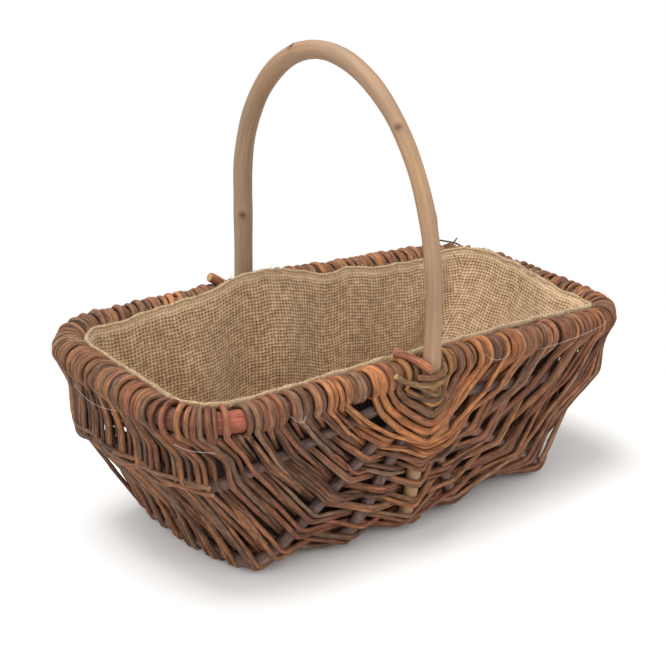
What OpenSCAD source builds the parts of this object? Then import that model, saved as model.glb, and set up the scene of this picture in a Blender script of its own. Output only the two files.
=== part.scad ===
// Rectangular trug basket: a handle hoop and a rim hoop cross at the middle of
// the long sides, six ribs fan out from the two crossings, and rows of willow
// are woven over and under them from rim to rim. A hessian liner lies inside.
// X runs along the basket, Y across it (front is -Y), Z is up from the ground.

/* [Rim hoop] */
// Length of the rim between the corners, at the middle of its rod
rim_l = 380; // [350:1:420]
// Width of the rim between the corners, at the middle of its rod
rim_w = 166; // [150:1:190]
// Height of the rim at its corners, at the middle of its rod
rim_h = 121; // [110:1:140]
// Radius of the rim's corners
rim_corner_r = 35; // [25:1:50]
// Radius of the rim's rod
rim_r = 7; // [5:0.5:8]
// Outward bow of the long sides at their middle
side_bow = 4; // [0:0.5:8]
// Outward bow of the short ends at their middle
end_bow = 2.5; // [0:0.5:6]
// Rise of the rim from the corners to the middle of the long sides
rim_rise = 4; // [0:0.5:8]
// How much higher the back of the rim is than the middle of the basket
rim_tilt = 7.5; // [0:0.5:9]

/* [Handle hoop] */
// Place of the handle along the basket, from the middle
handle_x = -22; // [-30:1:-10]
// Height of the handle's top, at the middle of its rod
handle_h = 310; // [270:1:340]
// Place of the handle's top across the basket, towards the back
handle_top_y = 13; // [-5:1:20]
// Height at which the front leg starts to bend over
front_shoulder_h = 155; // [145:1:175]
// Height at which the back leg starts to bend over
back_shoulder_h = 212; // [195:1:225]
// Radius of the handle's rod at the front rim
handle_front_r = 6; // [5:0.5:7]
// Radius of the handle's rod at the back rim
handle_back_r = 6.5; // [5:0.5:8]
// Radius of the same rod where it runs under the base
keel_r = 4.5; // [4:0.5:6]
// Half of the length across the base before the hoop turns up the sides
keel_half_w = 80; // [72:1:84]

/* [Ribs] */
// Radius of the rib rods
rib_r = 3.8; // [3:0.2:4.5]
// Distance of the ribs' tips from the middle of the basket, across it
tip_half_w = 91; // [88:0.5:93]
// Upper rib: distance of its tips from the handle, along the basket
upper_tip_x = 20; // [16:1:26]
// Upper rib: drop of its tips below the rim's middle
upper_tip_drop = 14; // [12:1:20]
// Corner rib: distance of its tips from the handle, along the basket
corner_tip_x = 18; // [15:1:24]
// Corner rib: drop of its tips below the rim's middle
corner_tip_drop = 27; // [24:1:32]
// Keel rib: distance of its tips from the handle, along the basket
keel_tip_x = 14; // [12:1:20]
// Keel rib: drop of its tips below the rim's middle
keel_tip_drop = 42; // [38:1:48]
// How much lower the right ribs' tips lie than the left ones
right_tip_drop = 6; // [0:1:8]
// Upper rib: distance of the left corners from the basket's middle
upper_left_x = 177; // [165:1:185]
// Upper rib: distance of the right corners from the basket's middle
upper_right_x = 172; // [165:1:185]
// Upper rib: half of its width at the corners
upper_half_w = 80; // [72:1:84]
// Upper rib: height at the corners
upper_h = 75; // [65:1:85]
// Corner rib: distance of the left base corners from the middle
base_left_x = 135; // [120:1:145]
// Corner rib: distance of the right base corners from the middle
base_right_x = 126; // [115:1:140]
// Corner rib: half of its width at the base corners
base_half_w = 69; // [60:1:74]
// Keel rib: distance from the handle hoop at the base's long edges
keel_rib_gap = 50; // [40:1:58]
// Keel rib: half of its width before it turns up the sides
keel_rib_half_w = 76; // [68:1:80]
// Outward bow of each rib at the middle of its end
rib_end_bow = 9; // [0:1:14]
// Distance over which a rib turns its corner
rib_bend = 16; // [10:1:24]

/* [Weave] */
// Number of woven rows around each crossing of the hoops
rows = 28; // [16:1:30]
// Width of a row, two willow rods side by side
row_w = 5.8; // [4:0.1:6]
// Thickness of a willow rod
rod_t = 3; // [2.4:0.1:3.6]
// Distance from a hoop crossing to the first row
first_row = 9; // [9:0.5:20]
// Rows nearest to a crossing that pass outside everything
bound_rows = 6; // [4:1:8]
// How far the rows run ahead on the rim, as a share of a rim quarter
rim_lead = 0.06; // [0:0.01:0.1]
// Power by which the rows lag on the corner and keel ribs
rib_lag = 1.12; // [1:0.02:1.2]
// Clearance between a row and the rod that it passes
weave_gap = 0.1; // [0:0.05:0.3]

/* [Liner] */
// Thickness of the hessian with its folds
liner_t = 1.6; // [1:0.1:2.5]
// Height of the liner's edge above the rim rod's middle
liner_rise = 11; // [9:0.5:14]
// Further rise of the edge along the back
liner_back_rise = 5; // [0:0.5:8]
// Distance of the edge inwards from the rim rod's middle
liner_edge_in = 7.5; // [7:0.5:10]
// Power that hollows the liner's walls on their way down
liner_hollow = 1.3; // [1:0.1:1.6]
// Clearance between the liner and the willow
liner_gap = 0.4; // [0.2:0.1:1]

/* [Hidden] */

half_l = rim_l / 2;
half_w = rim_w / 2;
// Sides of the round rods' facets
rod_sides = 8;
hoop_sides = 10;
// Centre heights of the rods that lie on the lowest rows, whose edges tip down a little
ground_gap = 0.2;
base_z = ground_gap + rod_t + weave_gap + rib_r;
keel_z = ground_gap + rod_t + weave_gap + keel_r;
// Along the basket, where the rows start to pull in below the rim, over what length the
// pull grows, and how far it brings them to stand straight above the upper rib
shoulder_x = 145;
shoulder_run = 25;
shoulder_pull = 0.8;
// The liner's narrowest place beside the rim: its height above the rim's middle, and
// the share of the rim's rise and tilt that it follows
neck_rise = 1;
neck_follow = 0.6;
// The handle's rod stands just outside the rim's rod
foot_y = half_w + side_bow + rim_r + weave_gap + handle_front_r;

// Small vector and path tools

function unit(v) = v / norm(v);
function mix(a, b, t) = a * (1 - t) + b * t;
function flipped(p) = [for (i = [len(p) - 1 : -1 : 0]) p[i]];

// A rounded corner at k on the way from a to b
function corner(a, k, b, r, n = 4) =
    let (p = k + r * unit(a - k), q = k + r * unit(b - k))
    [for (i = [0:n]) let (t = i / n) (1 - t) * (1 - t) * p + 2 * t * (1 - t) * k + t * t * q];

// Distance along a path up to each of its points
function distances(p) = [for (i = 0, s = 0; i < len(p);
    s = s + (i + 1 < len(p) ? norm(p[i + 1] - p[i]) : 0), i = i + 1) s];

// Tables from which a place on a path is looked up by its distance
function measured(p) = let (d = distances(p))
    [for (axis = [0:2]) [for (i = [0:len(p) - 1]) [d[i], p[i][axis]]]];
function path_length(m) = m[0][len(m[0]) - 1][0];
function place(m, d) = [lookup(d, m[0]), lookup(d, m[1]), lookup(d, m[2])];

// The way out of the basket at a place on its wall or base
function outward(p) =
    let (x = p[0] / half_l, y = p[1] / half_w, z = min(p[2] - rim_h, 0) / rim_h)
    unit([pow(x, 3) / half_l, pow(y, 3) / half_w, pow(z, 3) / rim_h]);

// Centre lines of the hoops and ribs

// The rim's height and bow at a place on its plan
function on_rim(x, y) = [
    x * (1 + end_bow / half_l * (1 - pow(y / half_w, 2))),
    y * (1 + side_bow / half_w * (1 - pow(x / half_l, 2))),
    rim_h + rim_rise * (1 - pow(x / half_l, 2)) + rim_tilt * y / half_w];

// One half of the rim, from its front crossing with the handle to its back one
function rim_half(side, run = 6, turn = 5) =
    let (cx = half_l - rim_corner_r, cy = half_w - rim_corner_r,
        front = [for (i = [0:run - 1]) on_rim(mix(handle_x, side * cx, i / run), -half_w)],
        bend = [for (i = [0:turn]) let (a = 90 * i / turn)
            on_rim(side * (cx + rim_corner_r * sin(a)), -cy - rim_corner_r * cos(a))],
        back_bend = [for (i = [turn:-1:0]) let (a = 90 * i / turn)
            on_rim(side * (cx + rim_corner_r * sin(a)), cy + rim_corner_r * cos(a))],
        back = [for (i = [run - 1:-1:0]) on_rim(mix(handle_x, side * cx, i / run), half_w)])
    concat(front, bend, [on_rim(side * half_l, 0)], back_bend, back);

// A rib from its front tip round the basket's end to its back tip
function rib(side, tip, tip_drop, cx, cy, cz) =
    let (drop = tip_drop + (side > 0 ? right_tip_drop : 0),
        front_tip = [handle_x + side * tip, -tip_half_w, rim_h - rim_tilt + rim_rise - drop],
        back_tip = [front_tip[0], tip_half_w, front_tip[2] + 2 * rim_tilt],
        k = [side * cx, -cy, cz],
        q = [side * (cx + rib_end_bow * 0.75), -cy / 2, cz],
        m = [side * (cx + rib_end_bow), 0, cz],
        back_k = [k[0], cy, cz],
        back_q = [q[0], cy / 2, cz])
    concat([front_tip], corner(front_tip, k, q, rib_bend), [q, m, back_q],
        corner(back_q, back_k, back_tip, rib_bend), [back_tip]);

// The three ribs of one end, from the rim down
function end_ribs(side) = [
    rib(side, upper_tip_x, upper_tip_drop, side < 0 ? upper_left_x : upper_right_x, upper_half_w, upper_h),
    rib(side, corner_tip_x, corner_tip_drop, side < 0 ? base_left_x : base_right_x, base_half_w, base_z),
    rib(side, keel_tip_x, keel_tip_drop, keel_rib_gap + side * handle_x, keel_rib_half_w, base_z)];

// The handle hoop below the rim, from the front crossing under the base to the back one
function keel() =
    let (front = [handle_x, -foot_y, rim_h + rim_rise - rim_tilt],
        back = [handle_x, foot_y, rim_h + rim_rise + rim_tilt],
        k = [handle_x, -keel_half_w, keel_z],
        m = [handle_x, 0, keel_z],
        back_k = [handle_x, keel_half_w, keel_z])
    concat([front], [mix(front, k, 0.4)], corner(front, k, m, rib_bend), [m],
        corner(m, back_k, back, rib_bend), [mix(back, back_k, 0.4)], [back]);

// The handle above the rim, from the back crossing over to the front one
function arch(turn = 11) =
    let (front_w = foot_y + handle_top_y, back_w = foot_y - handle_top_y)
    concat(
        [for (i = [0:turn]) let (a = 90 * i / turn)
            [handle_x, handle_top_y + back_w * cos(a),
                back_shoulder_h + (handle_h - back_shoulder_h) * sin(a)]],
        [for (i = [turn - 1:-1:0]) let (a = 90 * i / turn)
            [handle_x, handle_top_y - front_w * cos(a),
                front_shoulder_h + (handle_h - front_shoulder_h) * sin(a)]]);

// Radius of the handle's rod at a place on it
function hoop_radius(p) =
    let (leg = mix(handle_front_r, handle_back_r, (p[1] + foot_y) / (2 * foot_y)))
    p[2] >= rim_h ? leg : mix(keel_r, leg, max(p[2] - keel_z, 0) / (rim_h - keel_z));

// Solids swept along a path

// Triangles between rings of equal size, closed by end caps or into a loop
function ring_faces(rings, sides, closed) = concat(
    [for (i = [0:rings - (closed ? 1 : 2)], j = [0:sides - 1])
        let (n = (i + 1) % rings, k = (j + 1) % sides)
        each [[i * sides + j, n * sides + k, i * sides + k],
            [i * sides + j, n * sides + j, n * sides + k]]],
    closed ? [] : [[for (j = [0:sides - 1]) j],
        [for (j = [sides - 1:-1:0]) (rings - 1) * sides + j]]);

// A round rod along a path, with a radius and a facing direction for each point
module round_rod(p, radii, facing, sides, closed = false) {
    n = len(p);
    rings = [for (i = [0:n - 1])
        let (a = p[closed ? (i + n - 1) % n : max(i - 1, 0)],
            b = p[closed ? (i + 1) % n : min(i + 1, n - 1)],
            along = unit(b - a),
            side = unit(cross(along, facing[i])),
            up = cross(side, along))
        each [for (j = [0:sides - 1]) let (t = 360 * j / sides)
            p[i] + radii[i] * (cos(t) * up + sin(t) * side)]];
    polyhedron(rings, ring_faces(n, sides, closed));
}

// The rings of a woven row: two rods side by side, as one flat six-sided strip
// along places that each have the direction of the strip's outer face
row_outline = [[0.5, 0], [0.3, 0.5], [-0.3, 0.5], [-0.5, 0], [-0.3, -0.5], [0.3, -0.5]];
function row_rings(spots) = let (n = len(spots)) [for (i = [0:n - 1])
    let (along = unit(spots[min(i + 1, n - 1)][0] - spots[max(i - 1, 0)][0]),
        side = unit(cross(along, spots[i][1])),
        face = cross(side, along))
    each [for (q = row_outline) spots[i][0] + q[0] * row_w * side + q[1] * rod_t * face]];

// What the rows cross, from the left rim under the handle hoop to the right rim

left_rim = rim_half(-1);
right_rim = rim_half(1);
left_ribs = end_ribs(-1);
right_ribs = end_ribs(1);
spines = [for (p = concat([left_rim], left_ribs, [keel()], flipped(right_ribs), [right_rim])) measured(p)];
last = len(spines) - 1;
middle = last / 2;

// Place of a hoop crossing, at the middle of the rim's rod
function crossing(end) = [handle_x, end * (half_w + side_bow), rim_h + rim_rise + end * rim_tilt];

// Way from a crossing to a rib's tip, seen from the side of the basket
function tip_way(spine) = let (w = place(spines[spine], 0) - crossing(-1)) [w[0], 0, w[2]];
function reach(spine) = is_hoop(spine) ? 0 : norm(tip_way(spine));
function is_hoop(spine) = spine == 0 || spine == middle || spine == last;

// Distance of a row from its crossing towards one of the spines
function row_distance(spine, row) =
    let (half = reach(spine) + path_length(spines[spine]) / 2,
        share = (row + 0.5) / rows,
        lag = is_hoop(spine) || spine == 1 || spine == last - 1 ? 1 : rib_lag,
        lead = spine == 0 || spine == last ? rim_lead * sin(180 * share) : 0)
    first_row + (half - first_row) * (pow(share, lag) + lead);

// A place on a spine, counted from the front crossing or from the back one
function spine_place(spine, end, d) =
    place(spines[spine], end < 0 ? d : path_length(spines[spine]) - d);

// Distance from a rod's middle to the middle of a row that passes it
function row_off(r) = r + rod_t / 2 + weave_gap;

// Where a row crosses one of the spines, with the direction out of the basket.
// A row that is nearer to the crossing than the rib's tip passes there in the open.
function row_spot(row, s, end) =
    let (d = row_distance(s, row) - reach(s),
        over = row < bound_rows || (row + s) % 2 == 0 ? 1 : -1)
    d < 0 ? let (way = unit(tip_way(s)), c = crossing(end),
            rim_y = half_w + side_bow + row_off(rim_r), hoop_y = foot_y + row_off(handle_front_r),
            p = c + way * row_distance(s, row))
        [[p[0], end * mix(hoop_y, rim_y, abs(way[0])), p[2]], [0, end, 0]]
    : let (p = spine_place(s, end, d), v = outward(p))
        [p + over * row_off(s == middle ? hoop_radius(p) : rib_r) * v, v];

// A turn of willow over the rim, from below its outer face over the top and in
function rim_turn(spine, end, d) =
    let (c = spine_place(spine, end, d),
        along = unit(spine_place(spine, end, d + 1) - spine_place(spine, end, d - 1)),
        flat = unit(cross(along, [0, 0, 1])),
        out = flat * outward(c) > 0 ? flat : -flat)
    [for (a = [-50:50:150]) let (v = cos(a) * out + sin(a) * [0, 0, 1])
        [c + row_off(rim_r) * v, v]];

// Between the rim and the upper rib the rows pull in at the basket's ends, above the rib
function shoulder(turn, spot) =
    let (m = mix(spot[0], turn[0], 0.5),
        w = min(max((abs(spot[0][0]) - shoulder_x) / shoulder_run, 0), 1),
        q = [spot[0][0], spot[0][1], m[2]])
    [mix(m, q, w * shoulder_pull), spot[1]];

// The places of one row, turned over the rim at both ends
function row_spots(row, end) =
    let (from = flipped(rim_turn(0, end, row_distance(0, row))),
        to = rim_turn(last, end, row_distance(last, row)),
        spots = [for (s = [1:last - 1]) row_spot(row, s, end)])
    concat(from, [shoulder(from[len(from) - 1], spots[0])], spots,
        [shoulder(to[0], spots[len(spots) - 1])], to);

// All rows of one crossing, each a closed solid of its own
module weavers(end) {
    strips = [for (row = [0:rows - 1]) row_rings(row_spots(row, end))];
    sides = len(row_outline);
    size = len(strips[0]);
    faces = ring_faces(size / sides, sides, false);
    polyhedron([for (strip = strips) each strip],
        [for (row = [0:rows - 1], face = faces) [for (v = face) v + row * size]]);
}

// Single turns that fill the rim between the rows' own turns
module rim_wraps(end) {
    for (spine = [0, last], row = [0:rows - 1]) {
        from = row_distance(spine, row);
        pitch = row_distance(spine, row + 1) - from;
        turns = floor((pitch - row_w) / rod_t);
        for (i = [0:1:turns - 1]) {
            d = from + pitch / 2 + (i - (turns - 1) / 2) * rod_t;
            if (d < path_length(spines[spine]) / 2) {
                c = spine_place(spine, end, d);
                along = unit(spine_place(spine, end, d + 1) - spine_place(spine, end, d - 1));
                translate(c) rotate([0, acos(along[2]), atan2(along[1], along[0])])
                    rotate_extrude() translate([row_off(rim_r), 0])
                        circle(r = rod_t / 2, $fn = 24);
            }
        }
    }
}

module handle_hoop() {
    path = concat(keel(), arch());
    color("tan")
        round_rod(path, [for (p = path) hoop_radius(p)], [for (p = path) [1, 0, 0]], hoop_sides, true);
}

module rim_hoop() {
    path = concat(left_rim, [for (i = [len(right_rim) - 2:-1:1]) right_rim[i]]);
    color("indianred") round_rod(path, [for (p = path) rim_r], [for (p = path) [0, 0, 1]], hoop_sides, true);
}

module end_rib(path) {
    color("dimgray") round_rod(path, [for (p = path) rib_r], [for (p = path) outward(p)], rod_sides);
}

module left_upper_rib() { end_rib(left_ribs[0]); }
module left_corner_rib() { end_rib(left_ribs[1]); }
module left_keel_rib() { end_rib(left_ribs[2]); }
module right_upper_rib() { end_rib(right_ribs[0]); }
module right_corner_rib() { end_rib(right_ribs[1]); }
module right_keel_rib() { end_rib(right_ribs[2]); }

module front_weavers() { color("sienna") weavers(-1); }
module back_weavers() { color("saddlebrown") weavers(1); }
module front_rim_wraps() { color("peru") rim_wraps(-1); }
module back_rim_wraps() { color("peru") rim_wraps(1); }

// One level of the liner: a rounded rectangle with n points in each corner. edge is 1
// where it follows the rim's rise and tilt and the back's rise, and 0 on the floor.
function liner_level(left, right, w, z, r, edge, n = 5) = [
    for (c = [[right - r, w - r, 0], [left + r, w - r, 90], [left + r, r - w, 180], [right - r, r - w, 270]],
        i = [0:n])
        let (a = c[2] + 90 * i / n, x = c[0] + r * cos(a), y = c[1] + r * sin(a))
        [x, y, z + edge * (rim_tilt * y / w + rim_rise * (1 - pow(x / half_l, 2))
            + liner_back_rise * pow(max(y / w, 0), 2))]];

module hessian_liner() {
    // Space between the liner and the middle of the rod that it hangs beside
    rim_off = rim_r + rod_t + weave_gap + liner_gap;
    rib_off = rib_r + rod_t + weave_gap + liner_gap;
    neck_z = rim_h + neck_rise;
    floor_z = base_z + rib_off;
    edge = [half_l - liner_edge_in, half_l - liner_edge_in, half_w - liner_edge_in,
        rim_h + liner_rise, rim_corner_r - liner_edge_in, 1];
    neck = [half_l - rim_off, half_l - rim_off, half_w - rim_off, neck_z,
        rim_corner_r - rim_off, neck_follow];
    base = [base_left_x - rib_off, base_right_x - rib_off, base_half_w - rib_off, floor_z,
        rib_bend - rib_off, 0];
    walls = [for (t = [0.25, 0.5, 0.75])
        let (way = pow(t, liner_hollow), m = mix(neck, base, way))
        [m[0], m[1], m[2], mix(neck_z, floor_z, t), m[4], neck_follow * (1 - t)]];
    levels = concat([edge, neck], walls, [base]);
    floor_level = len(levels) - 1;
    outer = [for (v = levels) liner_level(-v[0], v[1], v[2], v[3], v[4], v[5])];
    inner = [for (i = [floor_level:-1:0]) let (v = levels[i], z = v[3] + (i == floor_level ? liner_t : 0))
        liner_level(liner_t - v[0], v[1] - liner_t, v[2] - liner_t, z, v[4] - liner_t, v[5])];
    // The rings run from the floor's underside up and over the edge to the floor's top
    rings = concat(flipped(outer), flipped(inner));
    sides = len(outer[0]);
    color("burlywood") polyhedron([for (r = rings) each r], ring_faces(len(rings), sides, false));
}

handle_hoop();
rim_hoop();
left_upper_rib();
left_corner_rib();
left_keel_rib();
right_upper_rib();
right_corner_rib();
right_keel_rib();
front_weavers();
back_weavers();
front_rim_wraps();
back_rim_wraps();
hessian_liner();
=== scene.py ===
"""Looks for the woven willow basket with a hessian liner.

Shapes are in millimetres and repeat the driving values of part.scad, and every mesh is
turned into metres when it is made. Materials, lights and the camera are in metres.
"""

import math

import bpy
import numpy as np
from mathutils import Matrix, Vector
from numpy.linalg import norm


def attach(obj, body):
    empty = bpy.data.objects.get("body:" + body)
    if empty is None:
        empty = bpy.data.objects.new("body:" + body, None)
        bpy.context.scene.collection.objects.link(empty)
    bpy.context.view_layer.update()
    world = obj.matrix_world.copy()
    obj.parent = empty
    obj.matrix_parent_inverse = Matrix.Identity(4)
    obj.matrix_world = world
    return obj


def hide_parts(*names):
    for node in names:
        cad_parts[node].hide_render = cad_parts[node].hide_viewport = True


MM = 0.001
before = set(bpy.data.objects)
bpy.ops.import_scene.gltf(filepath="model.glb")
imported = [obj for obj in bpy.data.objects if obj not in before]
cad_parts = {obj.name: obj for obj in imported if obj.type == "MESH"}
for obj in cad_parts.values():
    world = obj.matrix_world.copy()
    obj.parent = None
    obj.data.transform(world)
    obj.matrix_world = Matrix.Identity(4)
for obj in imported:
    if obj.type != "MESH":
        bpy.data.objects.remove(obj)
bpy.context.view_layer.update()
SEED = 20
rng = np.random.default_rng(SEED)


# Driving values, as in part.scad

RIM_L = 380
RIM_W = 166
RIM_H = 121
RIM_CORNER_R = 35
RIM_R = 7
SIDE_BOW = 4
END_BOW = 2.5
RIM_RISE = 4
RIM_TILT = 7.5
HANDLE_X = -22
HANDLE_H = 310
HANDLE_TOP_Y = 13
FRONT_SHOULDER_H = 155
BACK_SHOULDER_H = 212
HANDLE_FRONT_R = 6
HANDLE_BACK_R = 6.5
KEEL_R = 4.5
KEEL_HALF_W = 80
RIB_R = 3.8
TIP_HALF_W = 91
UPPER_TIP_X = 20
UPPER_TIP_DROP = 14
CORNER_TIP_X = 18
CORNER_TIP_DROP = 27
KEEL_TIP_X = 14
KEEL_TIP_DROP = 42
RIGHT_TIP_DROP = 6
UPPER_LEFT_X = 177
UPPER_RIGHT_X = 172
UPPER_HALF_W = 80
UPPER_H = 75
BASE_LEFT_X = 135
BASE_RIGHT_X = 126
BASE_HALF_W = 69
KEEL_RIB_GAP = 50
KEEL_RIB_HALF_W = 76
RIB_END_BOW = 9
RIB_BEND = 16
ROWS = 28
ROD_T = 3
FIRST_ROW = 9
BOUND_ROWS = 6
RIM_LEAD = 0.06
RIB_LAG = 1.12
WEAVE_GAP = 0.1
GROUND_GAP = 0.2
SHOULDER_X = 145
SHOULDER_RUN = 25
SHOULDER_PULL = 0.8
LINER_EDGE_IN = 7.5
LINER_HOLLOW = 1.3
LINER_GAP = 0.4
NECK_RISE = 1
NECK_FOLLOW = 0.6
HALF_L = RIM_L / 2
HALF_W = RIM_W / 2
BASE_Z = GROUND_GAP + ROD_T + WEAVE_GAP + RIB_R
KEEL_Z = GROUND_GAP + ROD_T + WEAVE_GAP + KEEL_R
FOOT_Y = HALF_W + SIDE_BOW + RIM_R + WEAVE_GAP + HANDLE_FRONT_R


# Small vector tools


def vec(*p):
    return np.array(p, dtype=float)


def unit(v):
    v = np.asarray(v, dtype=float)
    return v / np.maximum(norm(v, axis=-1, keepdims=True), 1e-9)


def mix(a, b, t):
    return a * (1 - t) + b * t


def smooth(t):
    t = np.clip(t, 0, 1)
    return t * t * (3 - 2 * t)


def srgb(r, g, b):
    """A colour given as on a screen, 0 to 255, as linear values."""
    c = np.array([r, g, b]) / 255
    return np.where(c <= 0.04045, c / 12.92, ((c + 0.055) / 1.055) ** 2.4)


def rounded(a, k, b, r, n=6):
    """Points of a rounded corner at k on the way from a to b."""
    r = min(r, 0.45 * norm(a - k), 0.45 * norm(b - k))
    p = k + r * unit(a - k)
    q = k + r * unit(b - k)
    return [(1 - t) ** 2 * p + 2 * t * (1 - t) * k + t * t * q for t in np.linspace(0, 1, n)]


def distances(p):
    steps = norm(np.diff(p, axis=0), axis=1)
    return np.concatenate([[0], np.cumsum(steps)])


def read_off(columns, d, at):
    """The rows of a table at places along it, between the rows whose places are d."""
    return np.stack([np.interp(at, d, column) for column in columns.T], axis=-1)


def resample(p, step):
    """The path with a point every step. Columns after the third are carried along."""
    p = np.asarray(p, dtype=float)
    d = distances(p[:, :3])
    n = max(3, int(round(d[-1] / step)) + 1)
    return read_off(p, d, np.linspace(0, d[-1], n))


def bent_path(places, bend, step, n=6):
    """A path through chosen places, with its corners rounded."""
    corners = [vec(*p) for p in places]
    path = [corners[0]]
    for a, k, b in zip(corners, corners[1:], corners[2:]):
        path += rounded(a, k, b, bend, n)
    return resample(path + [corners[-1]], step)


class Path:
    """A centre line that is looked up by its distance."""

    def __init__(self, points):
        self.p = np.asarray(points, dtype=float)
        self.d = distances(self.p)
        self.length = self.d[-1]

    def at(self, d):
        return read_off(self.p, self.d, d)


def outward(p):
    """The way out of the basket at a place on its wall or base."""
    x = p[0] / HALF_L
    y = p[1] / HALF_W
    z = min(p[2] - RIM_H, 0) / RIM_H
    return unit(vec(x**3 / HALF_L, y**3 / HALF_W, z**3 / RIM_H))


# Centre lines of the hoops and ribs


def on_rim(x, y):
    flat_x = 1 - (x / HALF_L) ** 2
    flat_y = 1 - (y / HALF_W) ** 2
    return vec(
        x * (1 + END_BOW / HALF_L * flat_y),
        y * (1 + SIDE_BOW / HALF_W * flat_x),
        RIM_H + RIM_RISE * flat_x + RIM_TILT * y / HALF_W,
    )


def rim_half(side, run=12, turn=10):
    """The rim's middle line round one end, from the front crossing to the back one."""
    cx = HALF_L - RIM_CORNER_R
    cy = HALF_W - RIM_CORNER_R
    quarter = [(mix(HANDLE_X, side * cx, i / run), HALF_W) for i in range(run)]
    for i in range(turn + 1):
        a = math.radians(90 * i / turn)
        quarter.append((side * (cx + RIM_CORNER_R * math.sin(a)), cy + RIM_CORNER_R * math.cos(a)))
    front = [on_rim(x, -y) for x, y in quarter]
    back = [on_rim(x, y) for x, y in reversed(quarter)]
    return front + [on_rim(side * HALF_L, 0)] + back


def rib(side, tip, tip_drop, cx, cy, cz):
    drop = tip_drop + (RIGHT_TIP_DROP if side > 0 else 0)
    front_tip = vec(HANDLE_X + side * tip, -TIP_HALF_W, RIM_H - RIM_TILT + RIM_RISE - drop)
    back_tip = front_tip * vec(1, -1, 1) + vec(0, 0, 2 * RIM_TILT)
    k = vec(side * cx, -cy, cz)
    q = vec(side * (cx + RIB_END_BOW * 0.75), -cy / 2, cz)
    m = vec(side * (cx + RIB_END_BOW), 0, cz)
    flip = vec(1, -1, 1)
    points = [front_tip] + rounded(front_tip, k, q, RIB_BEND) + [q, m, q * flip]
    return points + rounded(q * flip, k * flip, back_tip, RIB_BEND) + [back_tip]


def end_ribs(side):
    upper_x = UPPER_LEFT_X if side < 0 else UPPER_RIGHT_X
    base_x = BASE_LEFT_X if side < 0 else BASE_RIGHT_X
    keel_x = KEEL_RIB_GAP + side * HANDLE_X
    return [
        rib(side, UPPER_TIP_X, UPPER_TIP_DROP, upper_x, UPPER_HALF_W, UPPER_H),
        rib(side, CORNER_TIP_X, CORNER_TIP_DROP, base_x, BASE_HALF_W, BASE_Z),
        rib(side, KEEL_TIP_X, KEEL_TIP_DROP, keel_x, KEEL_RIB_HALF_W, BASE_Z),
    ]


def keel():
    front = vec(HANDLE_X, -FOOT_Y, RIM_H + RIM_RISE - RIM_TILT)
    back = vec(HANDLE_X, FOOT_Y, RIM_H + RIM_RISE + RIM_TILT)
    k = vec(HANDLE_X, -KEEL_HALF_W, KEEL_Z)
    m = vec(HANDLE_X, 0, KEEL_Z)
    back_k = vec(HANDLE_X, KEEL_HALF_W, KEEL_Z)
    first = [front, mix(front, k, 0.4)] + rounded(front, k, m, RIB_BEND)
    return first + [m] + rounded(m, back_k, back, RIB_BEND) + [mix(back, back_k, 0.4), back]


def arch(turn=24):
    """The handle from its back foot over the top to its front foot."""
    quarter = [math.radians(90 * i / turn) for i in range(turn + 1)]
    points = []
    for way, shoulder, angles in ((1, BACK_SHOULDER_H, quarter), (-1, FRONT_SHOULDER_H, quarter[-2::-1])):
        width = FOOT_Y - way * HANDLE_TOP_Y
        for a in angles:
            z = shoulder + (HANDLE_H - shoulder) * math.sin(a)
            points.append(vec(HANDLE_X, HANDLE_TOP_Y + way * width * math.cos(a), z))
    return points


def hoop_radius(p):
    leg = mix(HANDLE_FRONT_R, HANDLE_BACK_R, (p[1] + FOOT_Y) / (2 * FOOT_Y))
    if p[2] >= RIM_H:
        return leg
    return mix(KEEL_R, leg, max(p[2] - KEEL_Z, 0) / (RIM_H - KEEL_Z))


LEFT_RIM = rim_half(-1)
RIGHT_RIM = rim_half(1)
LEFT_RIBS = end_ribs(-1)
RIGHT_RIBS = end_ribs(1)
SPINES = [Path(p) for p in [LEFT_RIM] + LEFT_RIBS + [keel()] + RIGHT_RIBS[::-1] + [RIGHT_RIM]]
LAST = len(SPINES) - 1
MIDDLE = LAST // 2
HOOPS = (0, MIDDLE, LAST)


def crossing(end):
    """Place of a hoop crossing, at the middle of the rim's rod."""
    return vec(HANDLE_X, end * (HALF_W + SIDE_BOW), RIM_H + RIM_RISE + end * RIM_TILT)


def tip_way(spine):
    """Way from a crossing to a rib's tip, seen from the side of the basket."""
    return (SPINES[spine].p[0] - crossing(-1)) * vec(1, 0, 1)


REACH = [0 if s in HOOPS else float(norm(tip_way(s))) for s in range(LAST + 1)]


def row_distance(spine, row):
    """Distance of a row from its crossing towards one of the spines."""
    half = REACH[spine] + SPINES[spine].length / 2
    share = (row + 0.5) / ROWS
    lag = 1 if spine in HOOPS or spine in (1, LAST - 1) else RIB_LAG
    lead = RIM_LEAD * math.sin(math.pi * share) if spine in (0, LAST) else 0
    return FIRST_ROW + (half - FIRST_ROW) * (share**lag + lead)


def spine_place(spine, end, d):
    """A place on a spine, counted from the front crossing or from the back one."""
    path = SPINES[spine]
    return path.at(d if end < 0 else path.length - d)


def open_place(spine, end, d, half_rod):
    """A place on the way from a crossing to a rib's tip, outside both hoops."""
    way = unit(tip_way(spine))
    rim_y = HALF_W + SIDE_BOW + RIM_R + half_rod + WEAVE_GAP
    hoop_y = FOOT_Y + HANDLE_FRONT_R + half_rod + WEAVE_GAP
    p = crossing(end) + way * d
    return vec(p[0], end * mix(hoop_y, rim_y, abs(way[0])), p[2])


# Meshes


# Kinds of named values on a mesh, by how many numbers each vertex has
LAYER_KINDS = {1: ("FLOAT", "value"), 3: ("FLOAT_VECTOR", "vector"), 4: ("FLOAT_COLOR", "color")}


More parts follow.
